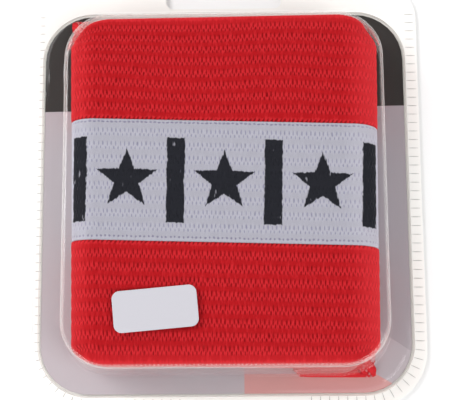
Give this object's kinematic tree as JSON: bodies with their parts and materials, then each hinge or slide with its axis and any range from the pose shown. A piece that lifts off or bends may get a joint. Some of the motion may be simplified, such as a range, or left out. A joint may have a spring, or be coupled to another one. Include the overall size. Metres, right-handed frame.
{
  "type": "captain armband on a blister card",
  "caption": "Ribbed elastic sports armband in red with a white middle, folded flat in a clear domed hanging pack over a printed card.",
  "frame": {"origin": "under the middle of the pack's bounding box, on the surface that the pack lies on", "axes": "+Z out of the pack's front face, +Y from the foot of the card to the hang slot, +X to the right as the front is seen"},
  "size_m": [0.1026, 0.123, 0.0165],
  "materials": {
    "red_elastic": "ribbed knit, matt",
    "white_elastic": "ribbed knit, matt, printed in black",
    "clear_film": "clear, glossy",
    "printed_board": "printed, satin",
    "label_paper": "coated, satin"
  },
  "bodies": {
    "root": {"red_band_upper": "red_elastic", "white_strip": "white_elastic", "red_band_lower": "red_elastic", "blister": "clear_film", "backing_card": "printed_board", "back_sheet": "clear_film", "size_label": "label_paper"}
  },
  "joints": []
}
